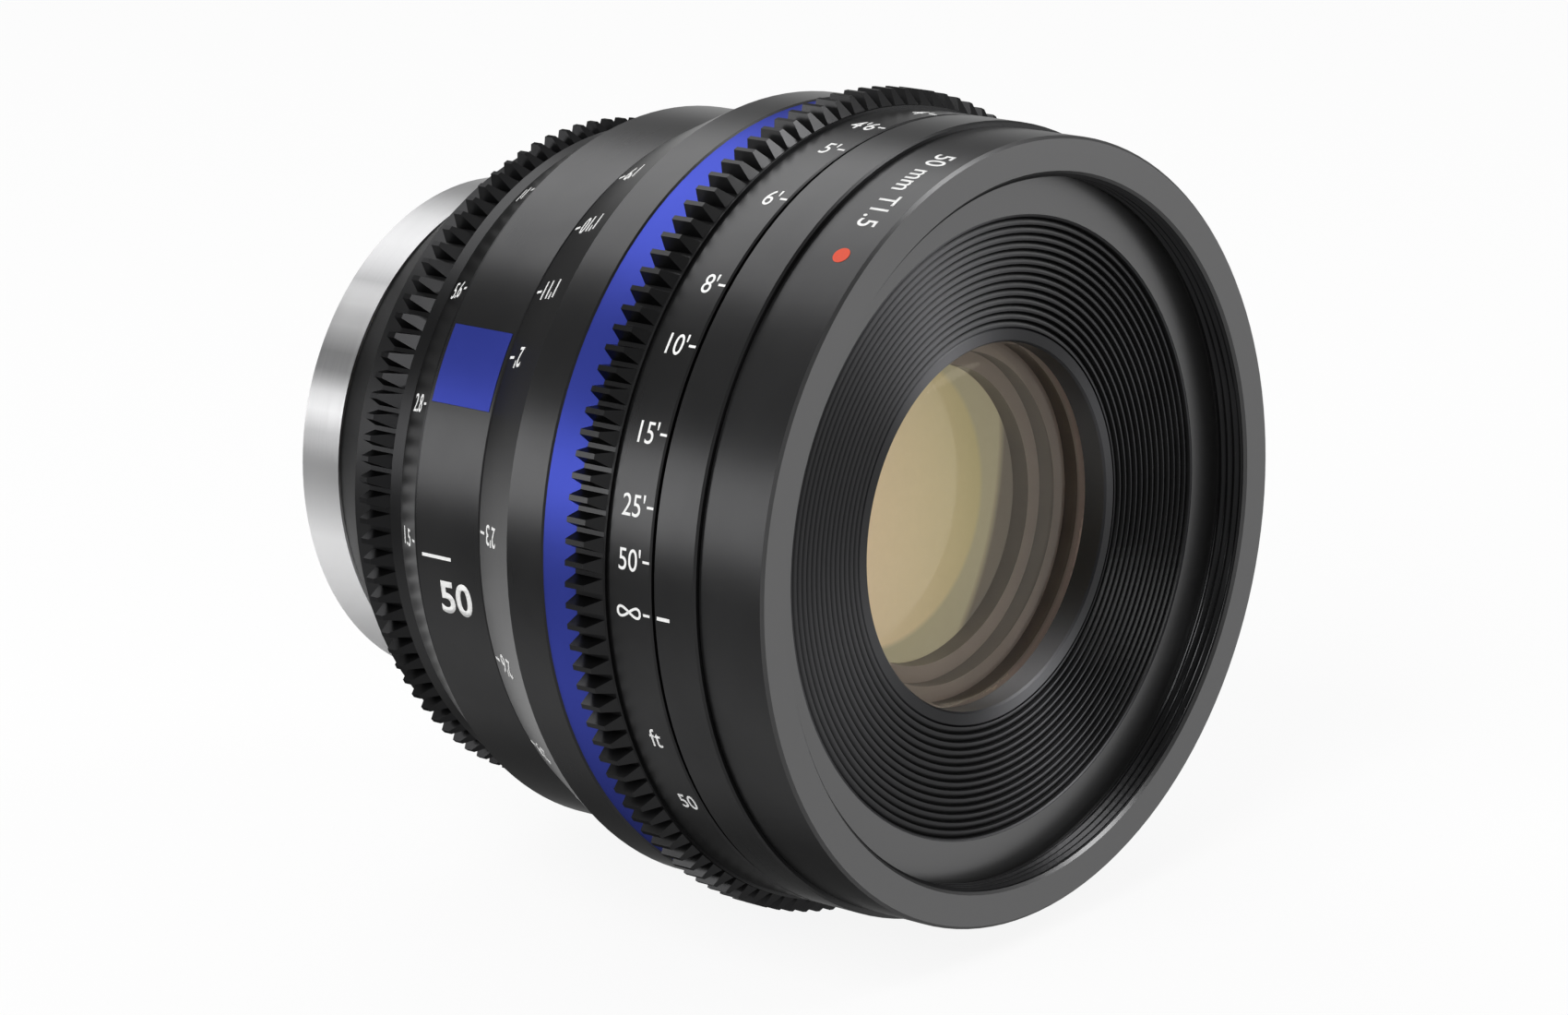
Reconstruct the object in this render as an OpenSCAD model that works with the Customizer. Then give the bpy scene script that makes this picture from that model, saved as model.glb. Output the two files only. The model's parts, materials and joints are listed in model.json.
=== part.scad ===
// Cinema prime lens, millimetres.
// Every piece is drawn with the optical axis along local z, the camera flange at z = 0 and the front at
// high z, with the top of the lens at local +y. The lens() module then lays that axis along -Y, so the
// part stands with +Z up and its front towards -Y.

/* [Lengths along the axis] */
// Bright mount ring
mount_len = 6.7; // [5:0.1:9]
// Back-focus shim between mount ring and rear barrel
shim_t = 0.2; // [0.1:0.05:0.5]
// Rear barrel from the shim to the iris ring
rear_cone_len = 13; // [11:0.5:18]
// Iris gear teeth
iris_gear_len = 4; // [3.5:0.1:5]
// Hollow in front of the iris gear
iris_hollow_len = 1; // [0.6:0.1:2]
// Plain band of the iris ring
iris_band_len = 1.8; // [1:0.1:4]
// Rear-facing cone of the iris ring, which carries the stop numbers
iris_cone_len = 5.1; // [4:0.1:8]
// Main barrel between the iris ring and the focus ring
label_len = 10.8; // [9:0.2:16]
// Rear-facing cone of the focus ring
focus_cone_len = 7.8; // [5:0.2:10]
// Plain shoulder of the focus ring
shoulder_len = 5.7; // [4:0.1:9]
// Coloured ring behind the focus gear
colour_len = 5.3; // [3:0.1:8]
// Focus gear teeth
focus_gear_len = 4.6; // [4:0.1:7]
// Distance scale in front of the focus gear
scale_len = 6.7; // [6:0.1:12]
// Open gap between the distance scale and the index ring
focus_gap = 0.4; // [0.3:0.1:1.5]
// Index ring on the front barrel
index_len = 7; // [6:0.1:10]
// Front ring, from the index ring to the front rim
front_len = 9; // [8:0.1:12]

/* [Outer form] */
// Diameter of the distance scale and the index ring, which the other rings step up and down from
body_d = 96.4; // [94:0.2:100]
// Step up from the distance scale to the shoulder of the focus ring
shoulder_rise = 0.4; // [0.1:0.05:0.8]
// Step up from the distance scale to the coloured ring
colour_rise = 0.2; // [0:0.05:0.6]
// Step down from the index ring to the front rim, which takes matte boxes and clamp-on rings
front_drop = 0.7; // [0.2:0.05:1.2]
// How far the front ring reaches back over the front barrel
front_skirt = 0.6; // [0.3:0.1:1.5]
// Wall of the front ring where it reaches back
front_skirt_wall = 1.2; // [0.8:0.1:2]
// Step down from the distance scale to the main barrel
label_drop = 3.4; // [2.8:0.1:4.2]
// Step up from the main barrel to the rear edge of the focus cone
focus_cone_rise = 0.3; // [0.1:0.05:1]
// Step down from the main barrel to the front edge of the iris cone
iris_cone_drop = 0.7; // [0.3:0.05:1.2]
// Height of the iris cone
iris_cone_rise = 2.4; // [1.5:0.1:3]
// Step down from the plain band of the iris ring to the rear barrel
rear_drop = 2; // [1:0.1:2.2]
// Diameter of the mount ring
mount_d = 64.4; // [60:0.2:70]

/* [Gears] */
// Tooth module of both follow-focus gears
gear_module = 0.8; // [0.7:0.05:0.9]
// Height of the focus gear's pitch line above the distance scale
focus_gear_rise = 1.4; // [1:0.1:2]
// Depth of the iris gear's pitch line under the plain band of the iris ring
iris_gear_drop = 0.5; // [0:0.1:0.8]
// Full-height length of the focus teeth before their bevel
focus_tooth_land = 2.9; // [1.5:0.1:3]
// Full-height length of the iris teeth before their bevel
iris_tooth_land = 1.2; // [0.8:0.1:2]
// Bevelled length at the front of the focus teeth
focus_tooth_bevel = 1.4; // [0.8:0.1:1.6]
// Bevelled length at the front of the iris teeth
iris_tooth_bevel = 2.4; // [1:0.1:2.6]

/* [Front] */
// Wall of the front ring round the filter thread
front_wall = 4.5; // [3.5:0.1:5]
// Depth of the filter thread
filter_depth = 4.3; // [4.2:0.1:5]
// Chamfer at the mouth of the filter thread
filter_chamfer = 0.35; // [0.2:0.05:0.6]
// Width of the plain floor between the filter thread and the ribbed baffle
floor_w = 5.3; // [4:0.1:7]
// How far the ribbed baffle dips towards its middle
baffle_dip = 1.5; // [0.5:0.1:1.9]
// Number of ridges on the baffle
ridges = 14; // [8:1:18]
// Height of a ridge
ridge_h = 0.5; // [0.2:0.05:0.8]
// Wall of the front cell round the front element
front_cell_wall = 6.5; // [5.8:0.1:7.8]
// Face width of the front retaining ring
retainer_face = 1.8; // [1.2:0.1:2.4]
// Width of each step behind the front element
step_w = 2.1; // [1:0.1:2.4]
// Depth of each step behind the front element
step_h = 2.3; // [1:0.1:2.6]

/* [Focus drive] */
// Turn of the focus ring from infinity to the nearest distance, degrees
focus_throw = 240; // [180:5:250]
// Travel of the focus cell over that turn
focus_travel = 9; // [8:0.1:9.4]
// Wall of the rings that sit on the focus ring, under the distance scale
ring_wall = 2.23; // [1.8:0.01:2.6]
// Wall of the guide tube
guide_wall = 3; // [2.6:0.1:3.4]
// Wall of the cam sleeve
cam_wall = 2.9; // [2.5:0.1:3.1]
// Diameter of the cam followers
follower_d = 2.9; // [2:0.1:3]
// Length of the focus cell
focus_cell_len = 13; // [12:0.1:13.5]
// Diameter of the focusing elements
focus_glass_d = 48; // [44:0.5:50]

/* [Iris] */
// Turn of the iris ring, degrees
iris_throw = 82; // [76:1:90]
// Swing of each blade over that turn, degrees
blade_swing = 34; // [28:1:35]
// Width of a blade
blade_w = 6; // [5:0.1:6.2]
// Angle that a blade spans, degrees
blade_angle = 112; // [90:1:120]
// Thickness of a blade
blade_t = 0.12; // [0.08:0.01:0.15]
// Distance from one blade's level to the next
blade_step = 0.2; // [0.18:0.01:0.24]
// Distance from the circle of blade pivots out to the drive ring's edge
pivot_margin = 11; // [10:0.1:12]
// Distance from the open blades out to the circle of pivots
blade_margin = 2.5; // [2:0.1:3]
// Distance from a blade's pivot to its drive pin
lever = 8.5; // [7.5:0.1:9]
// Radius of the blade pins
blade_pin_r = 0.6; // [0.4:0.05:0.7]
// Wall of the iris ring over the tube that it turns on
iris_wall = 3.65; // [3:0.05:4]
// Radius of the key that ties the iris ring to its drive ring
key_r = 1.2; // [0.8:0.1:1.3]

/* [Rear and mount] */
// Width of the flange face between the spigot and the edge of the mount ring
flange_w = 10.7; // [9:0.1:12]
// Wall of the bayonet spigot
spigot_wall = 2; // [1.5:0.1:2.5]
// Length of the spigot behind the flange
spigot_len = 4.6; // [4.2:0.1:6]
// Height of the bayonet lugs
lug_h = 1.5; // [1:0.1:2]
// Thickness of a lug
lug_t = 1.3; // [1:0.1:1.6]
// Angle that a lug spans, degrees
lug_angle = 48; // [30:1:60]
// Distance of the mount screws from the edge of the mount ring
mount_screw_margin = 5.7; // [4.5:0.1:7]
// Wall of the rear cell, between the rear elements and the bore of the mount
rear_cell_wall = 2.3; // [1.8:0.1:3]
// Distance from the corners of the picture-shaped opening to the edge of the rear baffle
mask_margin = 3.1; // [2:0.1:5]

/* [Fits] */
// Radial clearance of turning and sliding fits
run_fit = 0.05; // [0.03:0.01:0.08]
// Radial clearance between pieces that are fastened together
seat_fit = 0.02; // [0.01:0.01:0.03]
// Gap between the end faces of pieces that turn past each other
ring_gap = 0.3; // [0.3:0.05:0.5]

/* [Hidden] */
$fn = 96;
ball_fn = 240;
lead_in = 0.3;
cut = 1;
blades = 10;
lugs = 3;
followers = 3;
pins = 10;

// Small gaps that several pieces share
flush = 0.05;
head_fit = 0.1;
end_gap = 0.2;

// Stations along the axis, from the flange forwards
z_shim = mount_len;
z_rear = z_shim + shim_t;
z_rear_front = z_rear + rear_cone_len;
z_iris = z_rear_front + ring_gap;
z_iris_gear = z_iris + end_gap;
z_iris_hollow = z_iris_gear + iris_gear_len;
z_iris_band = z_iris_hollow + iris_hollow_len;
z_iris_cone = z_iris_band + iris_band_len;
z_iris_front = z_iris_cone + iris_cone_len;
z_label = z_iris_front + ring_gap;
z_label_front = z_label + label_len;
z_focus = z_label_front + ring_gap;
z_shoulder = z_focus + focus_cone_len;
z_colour = z_shoulder + shoulder_len;
z_gear = z_colour + colour_len;
z_scale = z_gear + focus_gear_len;
z_focus_front = z_scale + scale_len;
z_index = z_focus_front + focus_gap;
z_front = z_index + index_len;
z_rim = z_front + front_len;
z_seam = z_front - front_skirt;

// Walls, lips and flanges
label_flange_t = 1.4;
front_flange_t = 2.2;
barrel_flange = 2;
rear_wall_t = 3.1;
floor_t = 2;
focus_wall = 3;
iris_seat_wall = 3;
iris_gear_wall = 1.15;
front_lip = 1.2;
front_shoulder = 1.5;
front_seat_w = 7;
iris_step_w = 5;
rear_lip = 1.4;
second_lip = 1.4;
z_guide = z_label + label_flange_t;
z_guide_front = z_front - front_flange_t;
z_floor = z_rim - filter_depth;

// Outer radii, each a step from the one before
body_r = body_d / 2;
shoulder_r = body_r + shoulder_rise;
colour_r = body_r + colour_rise;
front_r = body_r - front_drop;
skirt_r = front_r - front_skirt_wall;
label_r = body_r - label_drop;
focus_cone_r = label_r + focus_cone_rise;
iris_cone_r = label_r - iris_cone_drop;
iris_band_r = iris_cone_r - iris_cone_rise;
rear_r = iris_band_r - rear_drop;
mount_r = mount_d / 2;

// Inner radii, from the outside in
focus_seat_r = body_r - ring_wall;
focus_bore_r = focus_seat_r - focus_wall;
cam_r = focus_bore_r - seat_fit;
cam_bore_r = cam_r - cam_wall;
guide_r = cam_bore_r - run_fit;
guide_bore_r = guide_r - guide_wall;
filter_r = front_r - front_wall;
baffle_r = filter_r - floor_w;
front_seat_r = guide_bore_r - front_seat_w;
front_glass_r = front_seat_r - front_cell_wall;
front_clear_r = front_glass_r - front_lip;
front_shoulder_r = front_seat_r + front_shoulder;
second_glass_r = front_clear_r - 2 * step_w + second_lip;
focus_glass_r = focus_glass_d / 2;
iris_ring_bore_r = iris_band_r - iris_wall;
iris_seat_r = iris_ring_bore_r - run_fit;
iris_gear_seat_r = iris_ring_bore_r + iris_gear_wall;
drive_bore_r = iris_seat_r - iris_seat_wall;
rear_bore_r = drive_bore_r - iris_step_w;
spigot_r = mount_r - flange_w;
mount_bore_r = spigot_r - spigot_wall;
rear_tail_r = mount_bore_r - end_gap;
rear_glass_r = rear_tail_r - rear_cell_wall;

// Iris stack
iris_base_t = 3;
iris_base_set = 0.8;
pivot_floor = 0.8;
z_iris_base = z_iris + iris_base_set;
z_blades = z_iris_base + iris_base_t + blade_step;
z_drive = z_blades + blades * blade_step + blade_step;
drive_web_t = 1.6;
drive_rim_w = 4;
drive_end_gap = 0.5;
z_drive_front = z_label - drive_end_gap;
key_margin = 1.1;
key_reach = 2.4;
key_root_r = drive_bore_r - drive_rim_w + drive_end_gap;
z_key = z_drive_front - key_r - key_margin;
key_slot_ease_angle = 1;
key_slot_angle = iris_throw + 2 * key_r * 180 / (PI * drive_bore_r) + key_slot_ease_angle;
key_angle = 228;
blade_ratio = blade_swing / iris_throw;
lever_angle = -90 - blade_swing / 2;
blade_pin_fit = 0.08;
blade_pitch = 360 / blades;
pivot_r = drive_bore_r - pivot_margin;
iris_open_r = pivot_r - blade_margin - blade_w;

// Front group, from the front backwards
front_glass_t = 2.4;
front_bulge = 1.9;
front_hollow = 1.2;
second_glass_t = 2.9;
second_bulge = 1.2;
second_hollow = 0.6;
second_ring_t = 1.4;
cell_end_gap = 0.6;
z_front_glass = z_front - front_glass_t;
z_steps = z_front_glass - step_h;
z_second_seat = z_steps - 2 * step_h;
z_front_cell = z_second_seat - second_glass_t - second_ring_t;

// Focus cell, its follower pins and the cam
z_cell_front = z_front_cell - cell_end_gap - focus_travel;
z_cell = z_cell_front - focus_cell_len;
z_follower = z_cell + focus_cell_len / 2;
follower_r = follower_d / 2;
slot_r = follower_r + run_fit;
cell_r = guide_bore_r - run_fit;
cell_web_t = follower_d + 2;
cell_lip = 1.5;
cell_wall = 2.4;
cell_rim = 3.4;
slot_over_angle = 2.6;
cam_steps = 30;
cam_inset = 0.7;
cam_screw_set = 1.5;
cam_screw_floor = 0.9;
z_cam = z_focus + cam_inset;
z_cam_front = z_focus_front - cam_inset;
z_cam_screw = z_scale + cam_screw_set;

// Fasteners
screw_r = 0.8;
screw_head_r = 1.3;
screw_head_t = 0.8;
screw_reach = 4;
barrel_screw_reach = 3;
guide_screws_n = 6;
guide_screw_angle = 40;
mount_screws_n = 4;
mount_screw_angle = 45;
mount_screw_shaft_r = 1;
mount_head_r = 1.9;
mount_head_t = 1.4;
mount_head_sink = 0.3;
mount_screw_r = mount_r - mount_screw_margin;
guide_screw_r = (guide_r + guide_bore_r) / 2;
barrel_screw_r = (iris_seat_r + drive_bore_r) / 2;
cam_screw_r = 1;
cam_screw_angle = 30;
follower_angle = 90;

// Bayonet lock hole, contacts and rear mask
lock_r = 1.6;
lock_depth = 4;
lock_margin = 4.2;
lock_circle_r = mount_r - lock_margin;
lock_angle = 200;
mask_t = 1.2;
mask_angle = 33.7;
mask_w = 2 * (rear_tail_r - mask_margin) * cos(mask_angle);
mask_h = 2 * (rear_tail_r - mask_margin) * sin(mask_angle);
z_tail = -0.5;
contact_angle = 270;
contact_span_angle = 100;
contact_pitch_angle = 0.9 * contact_span_angle / pins;
contact_w = 2.9;
contact_r = 0.45;
contact_t = 1.2;
contact_at_r = mount_bore_r - contact_w / 2;

// Glass, and the rings and lips that hold it
glass_land = 1.7;
glass_ring_w = 1.6;
rear_glass_t = 5;
rear_ring_t = 2;
rear_lip_t = 2.4;
rear_hollow = 1.4;
rear_bulge = 1.2;
last_hollow = 1.1;
last_bulge = 1.6;
z_rear_glass = z_iris_base - rear_glass_t - rear_lip_t;
z_last_glass = z_tail + rear_ring_t;
focus_ring_t = 1.5;
focus_spacer_t = 1.4;
focus_bulge = 1.1;
focus_hollow = 0.9;
focus_inner_hollow = 0.3;
focus_glass_t = (focus_cell_len - cell_lip - focus_ring_t - focus_spacer_t) / 2;
z_focus_glass = z_cell + cell_lip;
z_focus_spacer = z_focus_glass + focus_glass_t;
z_focus_glass_2 = z_focus_spacer + focus_spacer_t;
z_focus_retainer = z_focus_glass_2 + focus_glass_t;

// Blank badge plate on the main barrel, measured round from the top towards the index
badge_from_angle = 54;
badge_angle = 12.4;
badge_margin = 0.7;
badge_t = 0.45;
badge_proud = 0.05;
badge_ease_angle = 0.05;

// Shared shapes

module lens() {
    rotate([90, 0, 0]) children();
}

function polar(r, a) = [r * cos(a), r * sin(a)];

// Angle in the turning plane of a place measured from the top towards the index side
function from_top(a) = 90 + a;

// Piece turned from a profile of [radius, station] points
module turned(profile) {
    rotate_extrude() polygon(profile);
}

module tube(z0, z1, r_in, r_out) {
    turned([[r_in, z0], [r_out, z0], [r_out, z1], [r_in, z1]]);
}

module sector(z0, z1, r_in, r_out, from, span) {
    rotate([0, 0, from])
        rotate_extrude(angle = span)
            polygon([[r_in, z0], [r_out, z0], [r_out, z1], [r_in, z1]]);
}

// Copies round the axis
module around(n, first = 0) {
    for (i = [0 : n - 1])
        rotate([0, 0, first + i * 360 / n]) children();
}

// Pin along the axis
module post(r_at, r, z0, z1) {
    translate([r_at, 0, z0]) cylinder(r = r, h = z1 - z0);
}

// Pin square to the axis, from one radius out to another
module spoke(z, r, from, to) {
    translate([from, 0, z]) rotate([0, 90, 0]) cylinder(r = r, h = to - from);
}

// Ball that meets the plane at z in a circle of radius r and stands out of it, up or down, by the bulge
module ball(r, z, bulge) {
    ball_r = (r * r + bulge * bulge) / (2 * abs(bulge));
    translate([0, 0, z + bulge - sign(bulge) * ball_r]) sphere(r = ball_r, $fn = ball_fn);
}

// Cap of that ball, rooted a little way behind the plane
module cap(r, z, bulge) {
    root = glass_land / 2;
    intersection() {
        ball(r, z, bulge);
        translate([0, 0, bulge > 0 ? z - root : z + bulge - cut])
            cylinder(r = r + root, h = root + abs(bulge) + cut);
    }
}

// Lens element with flat edges at z0 and z1; inside them a positive bulge swells a side and a negative one
// hollows it
module element(r, z0, z1, rear, front) {
    clear_r = r - glass_land;
    difference() {
        union() {
            translate([0, 0, z0]) cylinder(r = r, h = z1 - z0);
            if (rear > 0) cap(clear_r, z0, -rear);
            if (front > 0) cap(clear_r, z1, front);
        }
        if (rear < 0) ball(clear_r, z0, -rear);
        if (front < 0) ball(clear_r, z1, front);
    }
}

// Follow-focus gear ring: straight teeth, bevelled down to the root at their front ends
module gear_ring(about_r, z0, len, land, bevel, bore_r) {
    teeth = round(2 * about_r / gear_module);
    pitch_r = teeth * gear_module / 2;
    tip_r = pitch_r + gear_module;
    root_r = pitch_r - 1.25 * gear_module;
    pitch = 360 / teeth;
    tip_half = 0.4 * gear_module / tip_r * 180 / PI;
    root_half = pitch / 2 - 0.35 * gear_module / root_r * 180 / PI;
    tooth = [[root_r, -root_half], [tip_r, -tip_half], [tip_r, tip_half], [root_r, root_half]];
    over = 0.3;
    difference() {
        intersection() {
            translate([0, 0, z0])
                linear_extrude(height = len)
                    polygon([for (i = [0 : teeth - 1], p = tooth) polar(p[0], i * pitch + p[1])]);
            turned([
                [bore_r - cut, z0 - cut],
                [tip_r + over, z0 - cut],
                [tip_r + over, z0 + land - over * bevel / (tip_r - root_r)],
                [root_r, z0 + land + bevel],
                [root_r - 0.1, z0 + len + cut],
                [bore_r - cut, z0 + len + cut]
            ]);
        }
        translate([0, 0, z0 - cut]) cylinder(r = bore_r, h = len + 2 * cut);
    }
}

// Mount

module mount_ring() {
    chamfer = 0.4;
    lug_root = 0.5;
    lug_z = lead_in - spigot_len;
    color("silver") lens() difference() {
        union() {
            turned([
                [mount_bore_r, -spigot_len], [spigot_r - lead_in, -spigot_len],
                [spigot_r, lead_in - spigot_len], [spigot_r, 0], [mount_r - chamfer, 0],
                [mount_r, chamfer], [mount_r, mount_len], [mount_bore_r, mount_len]
            ]);
            for (i = [0 : lugs - 1])
                sector(lug_z, lug_z + lug_t, spigot_r - lug_root, spigot_r + lug_h,
                    90 - lug_angle / 2 + i * 360 / lugs, lug_angle);
        }
        around(mount_screws_n, mount_screw_angle) {
            post(mount_screw_r, mount_screw_shaft_r + seat_fit, -cut, mount_len + cut);
            post(mount_screw_r, mount_head_r + head_fit, -cut, mount_head_t + mount_head_sink);
        }
        rotate([0, 0, lock_angle]) post(lock_circle_r, lock_r, -cut, lock_depth);
    }
}

module mount_screws() {
    slot_w = 0.5;
    slot_depth = 0.6;
    slot_z = mount_head_sink - cut;
    color("dimgray") lens() around(mount_screws_n, mount_screw_angle) difference() {
        union() {
            post(mount_screw_r, mount_screw_shaft_r, mount_head_t, z_rear + rear_wall_t - end_gap);
            post(mount_screw_r, mount_head_r, mount_head_sink, mount_head_t + mount_head_sink);
        }
        translate([mount_screw_r - slot_w / 2, -cut, slot_z]) cube([slot_w, 2 * cut, cut + slot_depth]);
        translate([mount_screw_r - cut, -slot_w / 2, slot_z]) cube([2 * cut, slot_w, cut + slot_depth]);
    }
}

module mount_shim() {
    inset = 1;
    color("goldenrod") lens() difference() {
        tube(z_shim, z_rear, mount_bore_r + inset, mount_r - inset);
        around(mount_screws_n, mount_screw_angle)
            post(mount_screw_r, mount_screw_shaft_r + head_fit, z_shim - cut, z_rear + cut);
    }
}

module contact_block() {
    color("#222222") lens() difference() {
        sector(-spigot_len + end_gap, z_tail - mask_t, mount_bore_r - contact_w, mount_bore_r - seat_fit,
            contact_angle - contact_span_angle / 2, contact_span_angle);
        around_contacts()
            post(contact_at_r, contact_r + seat_fit, -spigot_len - cut, -spigot_len + contact_t);
    }
}

module around_contacts() {
    for (i = [0 : pins - 1])
        rotate([0, 0, contact_angle + (i - (pins - 1) / 2) * contact_pitch_angle]) children();
}

module contact_pins() {
    color("gold") lens() around_contacts()
        post(contact_at_r, contact_r, -spigot_len, -spigot_len + contact_t);
}

// Rear barrel and rear group

module rear_barrel() {
    band = 2.6;
    chamfer = 0.8;
    chamfer_len = 1.4;
    wall_in_r = mount_bore_r + 0.5;
    color("#1c1c1e") lens() difference() {
        turned([
            [wall_in_r, z_rear], [mount_r - end_gap, z_rear], [mount_r + chamfer, z_rear + chamfer_len],
            [rear_r, z_rear_front - band], [rear_r, z_rear_front],
            [iris_seat_r, z_rear_front], [iris_seat_r, z_label], [drive_bore_r, z_label],
            [drive_bore_r, z_iris_base], [rear_bore_r, z_iris_base],
            [rear_bore_r, z_rear + rear_wall_t], [wall_in_r, z_rear + rear_wall_t]
        ]);
        around(mount_screws_n, mount_screw_angle)
            post(mount_screw_r, mount_screw_shaft_r + seat_fit, z_rear - cut, z_rear + rear_wall_t + cut);
        sector(z_key - key_r - head_fit, z_key + key_r + head_fit, drive_bore_r - cut, iris_seat_r + cut,
            key_angle - (key_slot_angle - iris_throw) / 2, key_slot_angle);
        barrel_screw_places()
            post(barrel_screw_r, screw_r + seat_fit, z_label - barrel_screw_reach - end_gap, z_label + cut);
    }
}

module rear_cell() {
    wall_gap = 2;
    z0 = z_rear + rear_wall_t + wall_gap;
    color("#19191b") lens() turned([
        [rear_glass_r + seat_fit, z_tail], [rear_tail_r, z_tail], [rear_tail_r, z0],
        [rear_bore_r - seat_fit, z0], [rear_bore_r - seat_fit, z_iris_base],
        [rear_glass_r - rear_lip, z_iris_base], [rear_glass_r - rear_lip, z_rear_glass + rear_glass_t],
        [rear_glass_r + seat_fit, z_rear_glass + rear_glass_t]
    ]);
}

module rear_element_front() {
    color("lightcyan", 0.4) lens()
        element(rear_glass_r, z_rear_glass, z_rear_glass + rear_glass_t, -rear_hollow, rear_bulge);
}

module rear_spacer() {
    color("#19191b") lens()
        tube(z_last_glass + rear_glass_t, z_rear_glass, rear_glass_r - glass_ring_w, rear_glass_r);
}

module rear_element_rear() {
    color("lightcyan", 0.4) lens()
        element(rear_glass_r, z_last_glass, z_last_glass + rear_glass_t, -last_hollow, last_bulge);
}

module rear_retaining_ring() {
    notch = 1.2;
    notch_depth = 0.8;
    color("#222222") lens() difference() {
        tube(z_tail, z_last_glass, rear_glass_r - glass_ring_w, rear_glass_r);
        translate([-rear_glass_r - cut, -notch / 2, z_tail - cut])
            cube([2 * rear_glass_r + 2 * cut, notch, cut + notch_depth]);
    }
}

module rear_baffle() {
    color("#111111") lens() difference() {
        translate([0, 0, z_tail - mask_t]) cylinder(r = rear_tail_r, h = mask_t);
        translate([-mask_w / 2, -mask_h / 2, z_tail - mask_t - cut]) cube([mask_w, mask_h, mask_t + 2 * cut]);
    }
}

// Iris

module iris_housing() {
    color("#202022") lens() difference() {
        tube(z_iris_base, z_iris_base + iris_base_t, iris_open_r + end_gap, drive_bore_r - seat_fit);
        around(blades) post(pivot_r, blade_pin_r + run_fit, z_iris_base + pivot_floor, z_blades + cut);
    }
}

module iris_ring() {
    cone_edge = 0.4;
    hollow = 1.5;
    color("#1c1c1e") lens() difference() {
        turned([
            [iris_ring_bore_r, z_iris], [iris_gear_seat_r, z_iris],
            [iris_gear_seat_r, z_iris_hollow], [iris_band_r - hollow, z_iris_hollow],
            [iris_band_r - hollow * 2 / 3, z_iris_band - cone_edge], [iris_band_r, z_iris_band],
            [iris_band_r, z_iris_cone], [iris_cone_r, z_iris_front - cone_edge],
            [iris_cone_r, z_iris_front], [iris_ring_bore_r, z_iris_front]
        ]);
        rotate([0, 0, key_angle])
            spoke(z_key, key_r + seat_fit, iris_ring_bore_r - cut, iris_ring_bore_r + key_reach + head_fit);
    }
}

module iris_gear() {
    color("#161618") lens() gear_ring(iris_band_r - iris_gear_drop, z_iris_gear, iris_gear_len,
        iris_tooth_land, iris_tooth_bevel, iris_gear_seat_r + seat_fit);
}

module iris_key() {
    color("silver") lens() rotate([0, 0, key_angle])
        spoke(z_key, key_r, key_root_r, iris_ring_bore_r + key_reach);
}

// Place of a blade's drive pin as seen by the drive ring, after the iris ring has turned
function drive_path(turn) =
    let (a = lever_angle + turn * blade_ratio,
         p = [pivot_r + lever * cos(a), lever * sin(a)])
    [p[0] * cos(-turn) - p[1] * sin(-turn), p[0] * sin(-turn) + p[1] * cos(-turn)];

// Unit vector across that path
function drive_across(turn) =
    let (d = drive_path(turn + 0.5) - drive_path(turn - 0.5))
    [-d[1], d[0]] / norm(d);

module drive_slot(half_w) {
    steps = 14;
    over_angle = 2.2;
    turns = [for (i = [0 : steps]) -over_angle + i * (iris_throw + 2 * over_angle) / steps];
    polygon(concat(
        [for (t = turns) drive_path(t) + half_w * drive_across(t)],
        [for (i = [steps : -1 : 0]) drive_path(turns[i]) - half_w * drive_across(turns[i])]
    ));
}

module iris_drive_ring() {
    color("#2a2a2c") lens() difference() {
        turned([
            [iris_open_r + 2 * end_gap, z_drive], [drive_bore_r - run_fit, z_drive],
            [drive_bore_r - run_fit, z_drive_front], [drive_bore_r - drive_rim_w, z_drive_front],
            [drive_bore_r - drive_rim_w, z_drive + drive_web_t],
            [iris_open_r + 2 * end_gap, z_drive + drive_web_t]
        ]);
        around(blades) translate([0, 0, z_drive - cut])
            linear_extrude(height = drive_web_t + 2 * cut) drive_slot(blade_pin_r + blade_pin_fit);
        rotate([0, 0, key_angle])
            spoke(z_key, key_r + seat_fit, key_root_r - head_fit, drive_bore_r + cut);
    }
}

// One blade: a thin crescent on its own level, with a pivot pin at its root and a drive pin on its lever
module iris_blade(i) {
    z = z_blades + i * blade_step;
    arm_w = 2.4;
    band_mid = iris_open_r + blade_w / 2;
    color("#3a3a3e") lens() rotate([0, 0, i * blade_pitch]) {
        sector(z, z + blade_t, iris_open_r, iris_open_r + blade_w, 0, blade_angle);
        translate([band_mid, -arm_w / 2, z]) cube([pivot_r - band_mid, arm_w, blade_t]);
        post(pivot_r, arm_w / 2, z, z + blade_t);
        post(pivot_r, blade_pin_r, z_iris_base + pivot_floor + end_gap, z + blade_t);
        translate([pivot_r, 0, 0]) rotate([0, 0, lever_angle]) {
            translate([0, -arm_w / 2, z]) cube([lever, arm_w, blade_t]);
            post(lever, arm_w / 2, z, z + blade_t);
            post(lever, blade_pin_r, z, z_drive + drive_web_t - end_gap);
        }
    }
}

// Main barrel, guide tube and their screws

module barrel_screw_places() {
    for (a = [10, 70, 130, 190]) rotate([0, 0, a]) children();
}

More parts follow.
